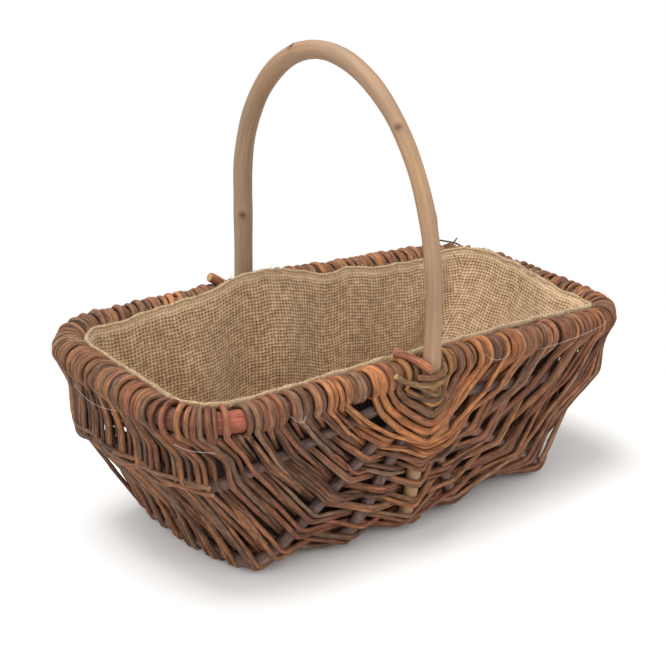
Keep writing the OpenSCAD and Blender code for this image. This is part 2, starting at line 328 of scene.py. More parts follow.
def new_object(name, verts, faces, layers=None, uv=None):
    """A mesh object in metres from vertices in millimetres, with named layers of values."""
    mesh = bpy.data.meshes.new(name)
    mesh.from_pydata((np.asarray(verts) * MM).tolist(), [], faces)
    for key, values in (layers or {}).items():
        values = np.asarray(values, dtype=np.float32)
        kind, field = LAYER_KINDS[values.size // len(verts)]
        layer = mesh.attributes.new(key, kind, "POINT")
        layer.data.foreach_set(field, values.ravel())
    if uv is not None:
        layer = mesh.uv_layers.new(name="cloth")
        layer.data.foreach_set("uv", np.asarray(uv, dtype=np.float32).ravel())
    # All is smooth but the rods' cut ends, the only faces that don't have four corners
    mesh.polygons.foreach_set("use_smooth", [len(face) == 4 for face in faces])
    mesh.update()
    obj = bpy.data.objects.new(name, mesh)
    bpy.context.scene.collection.objects.link(obj)
    return obj


def dress(piece, looks, node=None):
    """Gives a piece its material, slot and body, and hides the CAD part of the node that it stands for."""
    piece.data.materials.append(looks)
    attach(piece, "root")
    if node:
        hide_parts(node)
    return piece


class Rods:
    """Collects round rods, swept along paths, into one mesh."""

    def __init__(self, sides=8):
        self.sides = sides
        self.verts = []
        self.faces = []
        self.grain = []
        self.tint = []
        self.cut = []
        self.count = 0

    def add(self, path, wide, thick, facing, tint, closed=False):
        """wide and thick are half sizes at each point, and tint is a colour for each point."""
        p = np.asarray(path, dtype=float)
        n = len(p)
        if closed:
            along = unit(np.roll(p, -1, axis=0) - np.roll(p, 1, axis=0))
        else:
            along = unit(np.gradient(p, axis=0))
        facing = np.broadcast_to(np.asarray(facing, dtype=float), p.shape)
        side = unit(np.cross(along, facing))
        up = np.cross(side, along)
        wide = np.broadcast_to(wide, (n,))
        thick = np.broadcast_to(thick, (n,))
        tint = np.broadcast_to(tint, (n, 3))
        angle = np.arange(self.sides) * 2 * math.pi / self.sides
        ring = (
            p[:, None, :]
            + (wide[:, None] * np.cos(angle))[:, :, None] * side[:, None, :]
            + (thick[:, None] * np.sin(angle))[:, :, None] * up[:, None, :]
        )
        s = self.sides
        radius = np.maximum(wide, 0.1)
        seed = rng.uniform(0, 50)
        grain = np.stack(
            [
                np.repeat(distances(p) * MM + seed, s),
                (radius[:, None] * np.cos(angle)).ravel() * MM,
                (radius[:, None] * np.sin(angle)).ravel() * MM,
            ],
            axis=1,
        )
        for i in range(n if closed else n - 1):
            a = self.count + i * s
            b = self.count + (i + 1) % n * s
            self.faces += [(a + j, a + (j + 1) % s, b + (j + 1) % s, b + j) for j in range(s)]
        self.collect(ring.reshape(-1, 3), grain, tint, 0.0)
        if closed:
            return
        for i, order in ((0, -1), (n - 1, 1)):
            self.faces.append(tuple(self.count + j for j in range(s))[::order])
            self.collect(ring[i], grain[i * s : (i + 1) * s] + vec(0.01, 0, 0), tint[i : i + 1], 1.0)

    def collect(self, verts, grain, tint, cut):
        self.verts.append(verts)
        self.grain.append(grain)
        self.tint.append(np.repeat(tint, self.sides, axis=0))
        self.cut.append(np.full(len(verts), cut))
        self.count += len(verts)

    def build(self, name):
        tint = np.concatenate(self.tint)
        layers = {
            "grain": np.concatenate(self.grain),
            "tint": np.column_stack([tint, np.ones(len(tint))]),
            "cut": np.concatenate(self.cut),
        }
        return new_object(name, np.concatenate(self.verts), self.faces, layers)


def wander(n_points, length, size, wave):
    """Smooth seeded drift in three directions along a rod of that length."""
    t = np.linspace(0, length, n_points)
    out = np.zeros((n_points, 3))
    for axis in range(3):
        for k in (1.0, 0.55, 0.3):
            out[:, axis] += size * k * np.sin(2 * math.pi * t / (wave * k) + rng.uniform(0, 6.3))
    return out


# Materials


class Nodes:
    """Short hand for making the nodes of a material or a world."""

    def __init__(self, block, kind="Material"):
        self.block = block
        block.use_nodes = True
        self.tree = block.node_tree
        self.tree.nodes.clear()
        self.out = self.node("Output" + kind)

    def put(self, socket, value):
        if isinstance(value, bpy.types.NodeSocket):
            self.tree.links.new(value, socket)
        else:
            socket.default_value = value

    def node(self, kind, inputs=None, **settings):
        """A node with its settings, and with values or other nodes' outputs as its inputs."""
        n = self.tree.nodes.new("ShaderNode" + kind)
        for key, value in settings.items():
            setattr(n, key, value)
        for key, value in (inputs or {}).items():
            self.put(n.inputs[key], value)
        return n

    def layer(self, name, output="Vector"):
        return self.node("Attribute", attribute_name=name).outputs[output]

    def math(self, op, a, b=0.5, clamp=False):
        return self.node("Math", {0: a, 1: b}, operation=op, use_clamp=clamp).outputs[0]

    def plus(self, a, b):
        return self.math("ADD", a, b)

    def minus(self, a, b):
        return self.math("SUBTRACT", a, b)

    def times(self, a, b):
        return self.math("MULTIPLY", a, b)

    def noise(self, vector, scale, detail=3.0, rough=0.5, distortion=0.0):
        inputs = dict(Vector=vector, Scale=scale, Detail=detail, Roughness=rough, Distortion=distortion)
        return self.node("TexNoise", inputs).outputs["Fac"]

    def scaled(self, vector, stretch):
        return self.node("VectorMath", {0: vector, 1: stretch}, operation="MULTIPLY").outputs[0]

    def drawn(self, vector, stretch, detail, rough=0.5, distortion=0.0):
        """Noise that is finer along the axes with more stretch."""
        return self.noise(self.scaled(vector, stretch), 1.0, detail, rough, distortion)

    def range(self, value, low, high, to_low=0.0, to_high=1.0):
        ends = {"From Min": low, "From Max": high, "To Min": to_low, "To Max": to_high}
        n = self.node("MapRange", {"Value": value, **ends}, interpolation_type="SMOOTHSTEP")
        return n.outputs["Result"]

    def blend(self, factor, a, b, kind="MIX"):
        a, b = [v if isinstance(v, bpy.types.NodeSocket) else (*v, 1) for v in (a, b)]
        return self.node("Mix", {0: factor, 6: a, 7: b}, data_type="RGBA", blend_type=kind).outputs[2]

    def grey(self, value):
        return self.node("CombineColor", {0: value, 1: value, 2: value}).outputs[0]

    def bump(self, height, strength, distance):
        inputs = dict(Strength=strength, Distance=distance, Height=height)
        return self.node("Bump", inputs).outputs["Normal"]

    def show(self, shader):
        self.put(self.out.inputs["Surface"], shader.outputs[0])
        return self.block

    def surface(self, colour, rough, normal, **constants):
        inputs = {"Base Color": colour, "Roughness": rough, "Normal": normal}
        inputs.update({key.replace("_", " "): value for key, value in constants.items()})
        return self.show(self.node("BsdfPrincipled", inputs))


def material_nodes(name):
    return Nodes(bpy.data.materials.new(name))


# Bare wood at the rods' cut ends
CUT_WOOD = (196, 160, 112)


def bark_material(name, streak, lenticels, shine):
    """Willow bark: long streaks along the rod, grey bloom, pale lenticels, pale cut ends."""
    m = material_nodes(name)
    grain = m.layer("grain")
    tint = m.layer("tint", "Color")
    cut = m.layer("cut", "Fac")
    long_grain = m.drawn(grain, (70, 1000, 1000), 5, 0.66)
    blotch = m.drawn(grain, (130, 300, 300), 4, 0.6)
    fine = m.drawn(grain, (500, 2600, 2600), 3, 0.6)
    crack = m.range(m.drawn(grain, (160, 1700, 1700), 3, 0.6), 0.56, 0.68)
    dark = m.range(long_grain, 0.35, 0.68, 1 - streak, 1 + streak * 0.7)
    fleck = m.range(blotch, 0.3, 0.7, 0.7, 1.28)
    shade = m.times(dark, fleck)
    shade = m.times(shade, m.minus(1.0, m.times(crack, 0.4)))
    colour = m.blend(1.0, tint, m.grey(shade), "MULTIPLY")
    bloom = m.range(m.drawn(grain, (55, 360, 360), 3), 0.5, 0.72, 0, 0.38)
    colour = m.blend(bloom, colour, srgb(140, 108, 84))
    spots = m.node("TexVoronoi", dict(Vector=m.scaled(grain, (260, 700, 700)), Scale=1.0))
    dots = m.range(spots.outputs["Distance"], 0.06, 0.2, 1, 0)
    colour = m.blend(m.times(dots, lenticels), colour, srgb(172, 134, 102))
    wood_tone = m.blend(m.range(fine, 0.3, 0.7), srgb(*CUT_WOOD), srgb(*[c * 0.78 for c in CUT_WOOD]))
    colour = m.blend(cut, colour, wood_tone)
    rough = m.range(long_grain, 0.3, 0.7, 0.6, 0.85)
    height = m.plus(m.times(long_grain, 0.8), m.times(fine, 0.4))
    height = m.minus(height, m.times(dots, 0.25))
    height = m.minus(height, m.times(crack, 0.5))
    normal = m.bump(height, 0.75, 0.0007)
    return m.surface(colour, rough, normal, Specular_IOR_Level=shine)


def stick_material():
    """A peeled or thin-barked handle stick: pale tan with grey streaks and dark knots."""
    m = material_nodes("peeled_stick_looks")
    grain = m.layer("grain")
    tint = m.layer("tint", "Color")
    cut = m.layer("cut", "Fac")
    streaks = m.drawn(grain, (14, 420, 420), 5, 0.62)
    fine = m.drawn(grain, (70, 1900, 1900), 4, 0.6)
    cloud = m.drawn(grain, (22, 90, 90), 3, 0.5)
    shade = m.times(m.range(streaks, 0.3, 0.72, 0.8, 1.14), m.range(fine, 0.3, 0.7, 0.9, 1.08))
    colour = m.blend(1.0, tint, m.grey(shade), "MULTIPLY")
    colour = m.blend(m.range(cloud, 0.42, 0.7, 0, 0.55), colour, srgb(150, 122, 98))
    green = m.range(m.drawn(grain, (30, 200, 200), 2), 0.6, 0.78, 0, 0.4)
    colour = m.blend(green, colour, srgb(128, 112, 78))
    colour = m.blend(cut, colour, srgb(92, 56, 36))
    height = m.plus(m.times(streaks, 0.8), m.times(fine, 0.3))
    normal = m.bump(height, 0.45, 0.0009)
    rough = m.range(streaks, 0.3, 0.7, 0.48, 0.68)
    return m.surface(colour, rough, normal, Specular_IOR_Level=0.45)


# Pitch of the hessian's two thread sets, and the share of it that a thread covers
WARP = 2.7
WEFT = 2.45
COVER = 0.73
# The walls' cloth coordinates are apart by panels, and the floor's lie beyond them all
PANEL_STEP = 700
FLOOR_SHIFT = 3500
FLOOR_FROM = 3.0


def hessian_material():
    """Plain weave of slubby jute: two thread sets, over and under, with dark holes painted as shade."""
    m = material_nodes("hessian_looks")
    uv = m.node("UVMap", uv_map="cloth").outputs[0]
    wobble = m.node("TexNoise", dict(Vector=uv, Scale=55.0, Detail=2.0)).outputs["Color"]
    shift = {0: wobble, 1: (0.0019, 0.0019, 0), 2: uv}
    cloth = m.node("VectorMath", shift, operation="MULTIPLY_ADD").outputs[0]
    across, down = m.node("SeparateXYZ", {0: cloth}).outputs[:2]
    x = m.math("DIVIDE", across, WARP * MM)
    y = m.math("DIVIDE", down, WEFT * MM)
    col = m.math("FLOOR", x)
    row = m.math("FLOOR", y)

    def thread(v, index, run, seed):
        """How far inside its thread a place is, with a slubby width that differs per thread."""
        place = m.node("CombineXYZ", {0: m.times(index, 7.31), 1: m.times(run, 0.33), 2: seed})
        slub = m.noise(place.outputs[0], 1.0, 2.0)
        width = m.range(slub, 0.25, 0.75, COVER - 0.16, COVER + 0.17)
        middle = m.math("ABSOLUTE", m.times(m.minus(m.math("FRACT", v), 0.5), 2.0))
        inside = m.math("DIVIDE", middle, width)
        full = m.math("SUBTRACT", 1.0, m.times(inside, inside), clamp=True)
        return m.math("SQRT", full), slub

    warp, warp_slub = thread(x, col, y, 3.0)
    weft, weft_slub = thread(y, row, x, 9.0)

    def wave(v, index):
        """How high a thread lies along its run: up and down by turns, the next one opposite."""
        odd = m.math("ABSOLUTE", m.math("MODULO", index, 2.0))
        flip = m.minus(m.times(odd, 2.0), 1.0)
        lift = m.math("SINE", m.times(v, math.pi))
        return m.times(m.times(lift, flip), 0.35)

    warp_h = m.times(warp, m.plus(0.65, wave(y, col)))
    weft_h = m.times(weft, m.minus(0.65, wave(x, row)))
    height = m.math("MAXIMUM", warp_h, weft_h)
    solid = m.range(height, 0.06, 0.42)
    slubs = m.times(m.plus(warp_slub, weft_slub), 0.5)
    fibre = m.drawn(cloth, (2600, 2600, 1), 3, 0.65)
    cloud = m.noise(uv, 14.0, 3.0)
    tone = m.blend(m.range(slubs, 0.35, 0.65), srgb(178, 147, 112), srgb(214, 183, 146))
    tone = m.blend(m.range(fibre, 0.3, 0.75, 0, 0.4), tone, srgb(152, 120, 88))
    tone = m.blend(m.range(cloud, 0.35, 0.7, 0, 0.35), tone, srgb(168, 136, 102))
    # Painted shade and highlight: each thread is darker towards its edges and where it dips under the
    # other threads, and a little lighter on its tops
    tone = m.blend(1.0, tone, m.grey(m.range(height, 0.2, 1.0, 0.6, 1.06)), "MULTIPLY")
    # Painted shade: the holes between the threads are not open but painted dark brown, for the dim inside
    # seen through the weave
    colour = m.blend(solid, srgb(94, 67, 45), tone)
    # The edge is folded double and paler
    fold = m.range(down, -0.0075, -0.0035, 0, 0.55)
    fold = m.times(fold, m.math("LESS_THAN", across, FLOOR_FROM))
    colour = m.blend(fold, colour, srgb(216, 188, 152))
    # Painted shade: the face that lies against the willow is painted much darker below the edge, for the
    # shade between the cloth and the rods
    inside = m.node("NewGeometry").outputs["Backfacing"]
    low = m.range(down, -0.014, -0.008, 1, 0)
    low = m.math("MAXIMUM", low, m.math("GREATER_THAN", across, FLOOR_FROM))
    outside = m.times(m.minus(1.0, inside), low)
    colour = m.blend(outside, colour, srgb(58, 42, 32))
    height = m.times(height, m.minus(1.0, outside))
    total = m.plus(height, m.times(fibre, 0.25))
    normal = m.bump(total, 0.8, 0.0008)
    return m.surface(colour, 0.92, normal, Specular_IOR_Level=0.15, Sheen_Weight=0.25, Sheen_Roughness=0.5)


def fibre_material(name):
    """The cloth's frayed edge: loose jute fibres that lie along it and across it."""
    m = material_nodes(name)
    uv = m.node("UVMap", uv_map="cloth").outputs[0]
    along = m.drawn(uv, (420, 1900, 1), 4, 0.7, 0.6)
    across = m.drawn(uv, (1500, 500, 1), 4, 0.7, 0.6)
    height = m.math("MAXIMUM", along, across)
    tone = m.blend(m.range(height, 0.42, 0.66), srgb(150, 122, 88), srgb(222, 194, 156))
    normal = m.bump(height, 0.9, 0.0009)
    return m.surface(tone, 0.95, normal, Specular_IOR_Level=0.15, Sheen_Weight=0.3, Sheen_Roughness=0.5)


def plain_material(name, colour, rough, **constants):
    """A small part with a little noise in its tone."""
    m = material_nodes(name)
    place = m.node("TexCoord").outputs["Object"]
    speck = m.noise(place, 900.0, 3.0)
    tone = m.blend(m.range(speck, 0.3, 0.7), srgb(*colour) * 0.86, srgb(*colour))
    normal = m.bump(speck, 0.2, 0.0003)
    return m.surface(tone, rough, normal, **constants)


# Colours of the willow, as on a screen

DARK_BROWN = srgb(90, 60, 44)
RED_BROWN = srgb(124, 77, 54)
MID_BROWN = srgb(136, 92, 64)
GREY_BROWN = srgb(124, 95, 74)
ORANGE_BROWN = srgb(158, 104, 67)
BRIGHT_ORANGE = srgb(180, 118, 73)
WILLOW_COLOURS = [DARK_BROWN, RED_BROWN, MID_BROWN, GREY_BROWN, ORANGE_BROWN, BRIGHT_ORANGE]
# The rods nearest to the front crossing, from the crossing out
FIRST_RODS = [
    srgb(138, 110, 80), srgb(176, 126, 74), srgb(96, 70, 54), srgb(150, 96, 62),
    srgb(174, 110, 66), srgb(182, 118, 70), srgb(162, 102, 62),
]


def rod_tint(n, x, warm):
    """Colour along one rod: warm near the handle, darker and redder to the right end."""
    weights = np.array([0.16, 0.22, 0.3, 0.2, 0.12, 0.0])
    weights += warm * np.array([-0.1, -0.1, 0, -0.12, 0.3, 0.35])
    if x < -60:
        weights += np.array([0, -0.06, 0, 0.14, 0, 0])
    if x > 40:
        weights += np.array([0.04, 0.28, 0, -0.04, 0.04, 0])
    weights = np.maximum(weights, 0)
    weights = weights / weights.sum()
    base = WILLOW_COLOURS[rng.choice(len(WILLOW_COLOURS), p=weights)]
    other = WILLOW_COLOURS[rng.choice(len(WILLOW_COLOURS), p=weights)]
    t = smooth(np.linspace(0, 1, n) + rng.uniform(-0.5, 0.5))[:, None]
    tint = mix(base, mix(base, other, 0.7), t)
    return tint * rng.uniform(0.82, 1.24) * (1.12 if abs(x + 10) > 50 else 1.04)


# The hoops and ribs


def rib_facing(p):
    return np.array([outward(q) for q in p])


def make_rib(name, points):
    p = resample(points, 2.6)
    n = len(p)
    p = p + wander(n, distances(p)[-1], 0.25, 90)
    r = RIB_R * (1 + 0.05 * np.sin(np.linspace(0, 17, n) + rng.uniform(0, 6)))
    tint_a = srgb(98, 78, 74)
    tint_b = srgb(120, 92, 80)
    t = (0.5 + 0.5 * np.sin(np.linspace(0, 9, n) + rng.uniform(0, 6)))[:, None]
    rods = Rods(12)
    rods.add(p, r, r, rib_facing(p), mix(tint_a, tint_b, t))
    dress(rods.build(name), RIB_LOOKS, name.replace("_stick", ""))


RIB_LOOKS = bark_material("grey_willow_looks", streak=0.3, lenticels=0.35, shine=0.35)
ROD_LOOKS = bark_material("brown_willow_looks", streak=0.4, lenticels=0.4, shine=0.32)
RIM_LOOKS = bark_material("red_willow_looks", streak=0.25, lenticels=0.2, shine=0.3)
STICK_LOOKS = stick_material()

for side_name, ribs in (("left", LEFT_RIBS), ("right", RIGHT_RIBS)):
    for rib_name, points in zip(("upper", "corner", "keel"), ribs):
        make_rib(f"{side_name}_{rib_name}_rib_stick", points)

# The rim's bare place at the front left corner, where no rod turns over it
BARE_PLACE = vec(-162, -83, 116)
BARE_REACH = 7


def make_rim():
    """The rim's rod, bright red at its bare place and darker elsewhere."""
    ring = np.array(LEFT_RIM + RIGHT_RIM[-2:0:-1])
    points = resample(np.vstack([ring, ring[:1]]), 2.5)[:-1]
    bare = np.exp(-((norm(points - BARE_PLACE, axis=1) / 16) ** 2))[:, None]
    tint = mix(srgb(112, 72, 56), srgb(160, 86, 66), bare)
    rods = Rods(16)
    rods.add(points, RIM_R * 0.985, RIM_R * 0.985, vec(0, 0, 1), tint, closed=True)
    dress(rods.build("rim_stick"), RIM_LOOKS, "rim_hoop")


make_rim()

# Knots on the handle: place on the stick's middle, way out of it, size
HANDLE_KNOTS = [
    ((HANDLE_X, 34.3, 304.5), (-0.6, -0.5, 0.6), 1.0),
    ((HANDLE_X, -65.7, 269.1), (-0.7, -0.6, 0.3), 1.0),
    ((HANDLE_X, 101.1, 187.5), (-0.7, -0.7, 0.1), 1.1),
    ((HANDLE_X, 90, 250), (1, 0.2, 0), 0.8),
    ((HANDLE_X, -90, 215), (1, -0.3, 0), 0.8),
]


def make_handle():
    hoop = keel() + arch()
    path = resample(np.vstack([hoop, hoop[:1]]), 2.0)[:-1]
    n = len(path)
    below = distances(resample(keel(), 2.0))[-1]
    dist = distances(path)
    share = np.clip((dist - below) / (dist[-1] - below), 0, 1)
    above = smooth((path[:, 2] - RIM_H) / 30)
    sways = [0.9 * np.sin(share * 9 + 1), 0.5 * np.sin(share * 14), 0.4 * np.sin(share * 11 + 2)]
    path = path + np.stack(sways, axis=1) * (above * np.sin(np.pi * share) ** 0.5)[:, None]
    r = np.array([hoop_radius(p) for p in path])
    r = r * (1 + 0.018 * np.sin(dist / 17) + 0.014 * np.sin(dist / 6.3 + 1))
    # The front leg is a little slimmer above the rim than at its foot, and the back leg thicker
    r = r * (1 - 0.1 * above * smooth((-path[:, 1] - 20) / 40))
    r = r * (1 + 0.05 * above * smooth((path[:, 1] - 20) / 40))
    sides = 28
    rods = Rods(sides)
    pale = srgb(171, 134, 98)
    grey = srgb(144, 118, 95)
    mixed = (0.5 + 0.35 * np.sin(dist / 31) + 0.15 * np.sin(dist / 9))[:, None]
    tint = mix(pale, grey, np.clip(mixed * 0.7, 0, 1))
    tint = mix(tint, srgb(142, 120, 98), (smooth((path[:, 1] - 40) / 50) * 0.6)[:, None])
    under = smooth((RIM_H + 6 - path[:, 2]) / 20)[:, None]
    tint = mix(tint, srgb(152, 116, 80), under * 0.8)
    rods.add(path, r, r, vec(1, 0, 0), tint, closed=True)
    # Each knot is a swelling round a dip, and the cut layer darkens it
    verts = rods.verts[0]
    cut = rods.cut[0]
    centre = np.repeat(path, sides, axis=0)
    for place, way, size in HANDLE_KNOTS:
        i = int(np.argmin(norm(path - vec(*place), axis=1)))
        ring = verts[i * sides : (i + 1) * sides]
        spot = ring[int(np.argmax((ring - path[i]) @ vec(*way)))]
        gap = norm(verts - spot, axis=1)
        out = unit(verts - centre)
        swell = np.exp(-((gap / (4.2 * size)) ** 2)) * 0.9 * size
        dip = np.exp(-((gap / (1.5 * size)) ** 2)) * 1.1 * size
        verts += out * (swell - dip)[:, None]
        cut[:] = np.maximum(cut, np.minimum(1.35 * np.exp(-((gap / (2.1 * size)) ** 2)), 1))
    dress(rods.build("handle_stick"), STICK_LOOKS, "handle_hoop")


make_handle()


# The weave

# Half size of a usual rod, step of its points, and radius of its bends beside the ribs
STRAND_R = 1.62
STEP = 2.4
KINK = 3.6
# Half width and half thickness of the single thick rods of the bound rows
BOUND_WIDE = 2.6
BOUND_THICK = 1.95
# Share of its distance at which a bound row passes each spine, from the rims to the hoop
BOUND_NARROW = [0.68, 0.8, 0.9, 1.05, 1.0, 0.94, 0.77, 0.68, 0.8]
# Rows from this one on are rods that pass the ribs one by one, not in pairs
SPLIT_ROW = 15
SPLIT_SPREAD = 2.0
# A row that is bound over the handle hoop although its neighbour passes inside
LAST_BOUND_ON_HOOP = 7
# Angles round the rim, from outward over the top, where a turn starts and ends
TURN_LOW = -42
TURN_IN = 190
# How far a turn runs on along the back rim, where the rods lie aslant
BACK_SLANT = 4.5
# Third rods, thin and dark, that run between the rows behind the ribs
FILLER = 2
FILLER_R = 1.35
# Rods twined along the left upper rib: how many, how far from the tip, length of a turn
TWINE_RODS = 3
TWINE_START = 141
TWINE_PITCH = 120
# Every turn over the rim that is made: spine, end and place
TURNS = []
# Step at which the rim is looked at for gaps that take a turn of their own
WRAP_STEP = 3.5


def rim_turn(spine, end, d, a0, a1, advance, off):
    """A helical turn round the rim from angle a0 to a1, as rows of a place and the way out.

    0 is outward and 90 is up.
    """
    n = max(6, int(abs(a1 - a0) / 18))
    rows = []
    for i in range(n + 1):
        t = i / n
        a = math.radians(mix(a0, a1, t))
        at = d + advance * t
        c = spine_place(spine, end, at)
        along = unit(spine_place(spine, end, at + 1) - spine_place(spine, end, at - 1))
        flat = unit(np.cross(along, vec(0, 0, 1)))
        if flat @ outward(c) < 0:
            flat = -flat
        v = math.cos(a) * flat + math.sin(a) * vec(0, 0, 1)
        rows.append(np.r_[c + (RIM_R + off) * v, v])
    return np.array(rows)


def passes_over(row, s, k):
    """1 where a rod passes outside a spine, and -1 where it passes inside."""
    if k == FILLER:
        return 1 if rng.random() < (0.8 if s in (1, LAST - 1) else 0.25) else -1
    if row < BOUND_ROWS or (s == MIDDLE and row == LAST_BOUND_ON_HOOP):
        return 1
    turn = row + s + (k if row >= SPLIT_ROW else 0)
    return 1 if turn % 2 == 0 else -1


def shoulder(turn, spot):
    """Between the rim and the upper rib a rod pulls in at the ends, above the rib."""
    m = mix(spot[:3], turn[:3], 0.5)
    w = min(max((abs(spot[0]) - SHOULDER_X) / SHOULDER_RUN, 0), 1)
    return np.r_[mix(m, vec(spot[0], spot[1], m[2]), w * SHOULDER_PULL), spot[3:]]


def row_pitch(spine, row):
    return row_distance(spine, row + 1) - row_distance(spine, row)


def strand_path(row, end, k, thick, top):
    """One rod of a row, as rows of a place, the way it faces, and 1 where it is a rim turn.

    top tells for both ends of the rod whether it turns over the rim or passes below it.
    """
    bound = row < BOUND_ROWS and k == 0
    side = 0 if bound else (1 if k else -1)
    loose = 0.35 if bound else 0.75
    turns_over = []
    for spine, goes_over in zip((0, LAST), top):
        slant = rng.normal(BACK_SLANT if end > 0 else 1.5, 2.3)
        lift = rng.uniform(0.1, 1.4) if k == 0 else rng.uniform(0.0, 0.5)
        d = row_distance(spine, row) + side * row_pitch(spine, row) * 0.26 + rng.normal(0, 0.5)
        if bound:
            d = d * BOUND_NARROW[spine]
        d = max(d, HANDLE_FRONT_R + 3.5)
        if abs(spine_place(spine, end, d) - BARE_PLACE).sum() < BARE_REACH:
            goes_over = False
        if goes_over:
            TURNS.append((spine, end, d + slant / 2))
            turns_over.append(rim_turn(spine, end, d, TURN_LOW, TURN_IN, slant, thick + lift))
        else:
            turns_over.append(rim_turn(spine, end, d, TURN_LOW - 14, -150, slant * 0.4, thick + 0.1))
    spots = []
    for s in range(1, LAST):
        spread = thick + 0.1 if row < SPLIT_ROW else SPLIT_SPREAD
        if k == FILLER:
            d = row_distance(s, row) + row_pitch(s, row) / 2 + rng.normal(0, 1.2)
        else:
            d = row_distance(s, row) + side * spread + rng.normal(0, loose)
        if bound:
            d = d * BOUND_NARROW[s]
        along = d - REACH[s]
        if along < 0:
            spots.append(np.r_[open_place(s, end, d, thick), 0, end, 0])
            continue
        q = spine_place(s, end, along)
        w = outward(q)
        r = hoop_radius(q) if s == MIDDLE else RIB_R
        off = r + thick + WEAVE_GAP + rng.uniform(0.0, 0.5)
        spots.append(np.r_[q + passes_over(row, s, k) * off * w, w])
    head, tail = turns_over
    chain = [head[0], shoulder(head[0], spots[0]), *spots, shoulder(tail[0], spots[-1]), tail[0]]
    rows = [np.r_[row, 1] for row in head[::-1]]
    for before, corner, after in zip(chain, chain[1:], chain[2:]):
        bend = rounded(before[:3], corner[:3], after[:3], KINK, 4)
        rows += [np.r_[q, corner[3:], 0] for q in bend]
    return np.array(rows + [np.r_[row, 1] for row in tail])


def above_floor(path, thick):
    """The path with every place lifted that would go through the floor."""
    lift = np.maximum(0.15 + thick - path[:, 2], 0)
    return path + lift[:, None] * vec(0, 0, 1)


def add_strand(rods, row, end, k):
    """One rod of a row, sometimes joined from two rods that overlap for a while."""
    bound = row < BOUND_ROWS and k == 0
    warm = math.exp(-((row / 7.0) ** 2)) * (1 if end < 0 else 0.5)
    radius = (FILLER_R if k == FILLER else STRAND_R) * rng.uniform(0.84, 1.14)
    thick_at = BOUND_THICK * rng.uniform(0.92, 1.05) if bound else radius
    wide_at = BOUND_WIDE * rng.uniform(0.88, 1.04) if bound else radius
    chance = {0: 1.0, 1: 0.6, FILLER: 0.0}[k]
    top = [rng.random() < chance, rng.random() < chance]
    table = resample(strand_path(row, end, k, thick_at, top), STEP)
    path, facing, turn = table[:, :3], unit(table[:, 3:6]), table[:, 6]
    n = len(path)
    dist = distances(path)
    length = dist[-1]
    path = path + wander(n, length, 0.2, 75) * (1 - turn)[:, None]
    taper = np.linspace(1.08, 0.9, n)
    if rng.random() < 0.5:
        taper = taper[::-1]
    bud_gap = rng.uniform(34, 55)
    bud = np.exp(-(((dist + rng.uniform(0, 30)) % bud_gap - 4) / 2.0) ** 2) * 0.16
    turn_wide = mix(2.5, 1.8, float(smooth((row - 7) / 9))) * rng.uniform(0.82, 1.12)
    if end < 0 and row < 2:
        wide_at = wide_at * 0.72
        turn_wide = turn_wide * 0.8
    if k == 1:
        turn_wide = turn_wide * rng.uniform(0.75, 0.95)
    wide = mix(wide_at, max(turn_wide, wide_at), turn) * taper * (1 + bud)
    thick = mix(thick_at, max(thick_at, 1.75), turn) * taper * (1 + bud)
    tint = rod_tint(n, path[n // 2, 0], warm)
    if end > 0:
        tint = mix(tint, GREY_BROWN, 0.3)
    if end < 0 and row < len(FIRST_RODS):
        tint = mix(tint, FIRST_RODS[row], 0.8)
    # Partly real thin rods, and partly painted shade: the filler rods behind the ribs are painted darker
    # for the shade between the rows
    if k == FILLER:
        tint = tint * 0.62
    path = above_floor(path, thick)
    joined = not bound and rng.random() < 0.5
    if not joined:
        rods.add(path, wide, thick, facing, tint)
        return
    other_tint = rod_tint(n, path[-1, 0], warm)
    cut_at = int(n * rng.uniform(0.22, 0.78))
    reach = int(rng.uniform(8, 20) / STEP)
    first = slice(0, min(n, cut_at + reach))
    second = slice(max(0, cut_at - reach), n)
    side = unit(np.cross(np.gradient(path, axis=0), facing))
    push = np.exp(-(((np.arange(n) - cut_at) / (reach * 1.3)) ** 2))[:, None]
    one = above_floor(path + side * push * 1.2 + facing * push * rng.uniform(0.4, 2.0), thick)
    two = above_floor(path - side * push * 1.2, thick)
    rods.add(one[first], wide[first] * 0.94, thick[first] * 0.94, facing[first], tint[first])
    rods.add(two[second], wide[second], thick[second], facing[second], other_tint[second])


def add_wraps(rods, end):
    """Thin turns close round the rim that fill the gaps between the rows' own turns."""
    for spine in (0, LAST):
        taken = np.array([d for s, e, d in TURNS if s == spine and e == end])
        for d in np.arange(FIRST_ROW, SPINES[spine].length / 2, WRAP_STEP):
            bare_here = abs(spine_place(spine, end, d) - BARE_PLACE).sum() < BARE_REACH
            if bare_here or np.abs(taken - d).min() < 2.5:
                continue
            slant = rng.normal(BACK_SLANT if end > 0 else 1.5, 2.0)
            radius = rng.uniform(1.15, 1.85)
            turn = rim_turn(spine, end, d - slant / 2, -190, 190, slant, radius * 0.9 + 0.05)
            table = resample(turn, STEP)
            p, facing = table[:, :3], unit(table[:, 3:])
            warm = math.exp(-((d / 60) ** 2)) * (1 if end < 0 else 0.4)
            tint = rod_tint(len(p), p[0, 0], warm)
            if end > 0:
                tint = mix(tint, GREY_BROWN, 0.3)
            rods.add(p, radius * 1.15, radius * 0.9, facing, tint * rng.uniform(0.6, 1.05))


